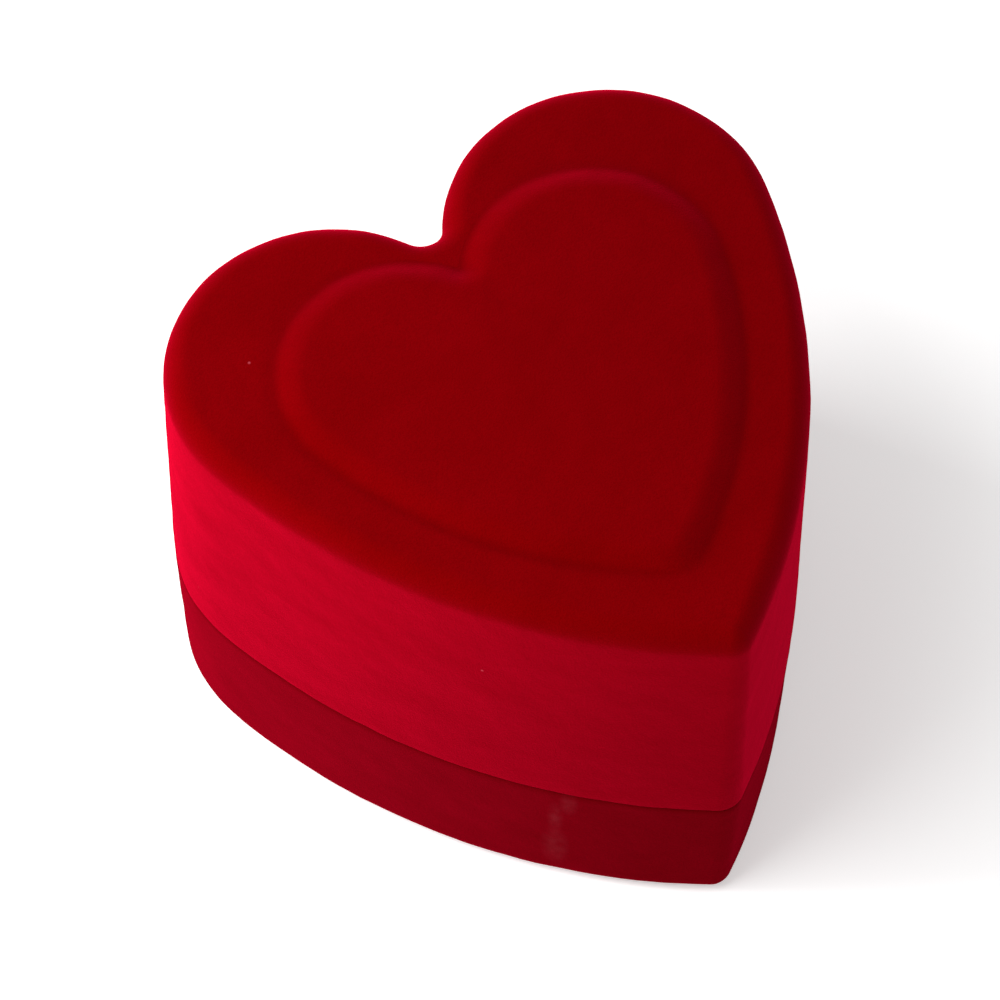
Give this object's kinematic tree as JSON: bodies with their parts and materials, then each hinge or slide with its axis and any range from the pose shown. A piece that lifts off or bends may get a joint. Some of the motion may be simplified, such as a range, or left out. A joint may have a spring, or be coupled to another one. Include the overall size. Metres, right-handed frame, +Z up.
{
  "type": "heart-shaped trinket box",
  "caption": "Small flocked heart-shaped trinket box with a hinged lid, raised heart on top, ring cushions and a satin pad inside.",
  "frame": {"origin": "on the underside of the foot card, midway between the backs of the lobes and the tip", "axes": "+Z up, -Y towards the tip of the heart, X across the lobes"},
  "size_m": [0.048, 0.0486, 0.0374],
  "materials": {
    "velvet": "red flock velvet",
    "cushion_velvet": "red velvet over foam",
    "collar_cloth": "red velvet over card",
    "satin": "ivory satin",
    "wadding": "polyester wadding",
    "foam": "open-cell foam",
    "moulded_plastic": "moulded polystyrene",
    "foot_paper": "flocked paper",
    "greyboard": "greyboard",
    "hinge_brass": "brass plate on steel",
    "hinge_steel": "spring steel"
  },
  "bodies": {
    "base": {"base_shell": "moulded_plastic", "base_velvet": "velvet", "foot_card": "foot_paper", "rim_collar": "collar_cloth", "cushion_board": "greyboard", "front_foam": "foam", "rear_foam": "foam", "front_cushion": "cushion_velvet", "rear_cushion": "cushion_velvet", "base_hinge_leaf": "hinge_brass", "hinge_pin": "hinge_steel", "hinge_spring": "hinge_steel", "base_hinge_tacks": "hinge_brass"},
    "lid": {"lid_shell": "moulded_plastic", "lid_velvet": "velvet", "lid_lining": "satin", "lid_board": "greyboard", "lid_wadding": "wadding", "lid_satin_pad": "satin", "lid_hinge_leaf": "hinge_brass", "lid_hinge_tacks": "hinge_brass"}
  },
  "joints": [
    {"name": "lid_hinge", "type": "hinge", "parent": "base", "child": "lid", "pos_m": [0, 0.0238, 0.0134], "axis": [-1, 0, 0], "range_deg": [0, 95]}
  ]
}
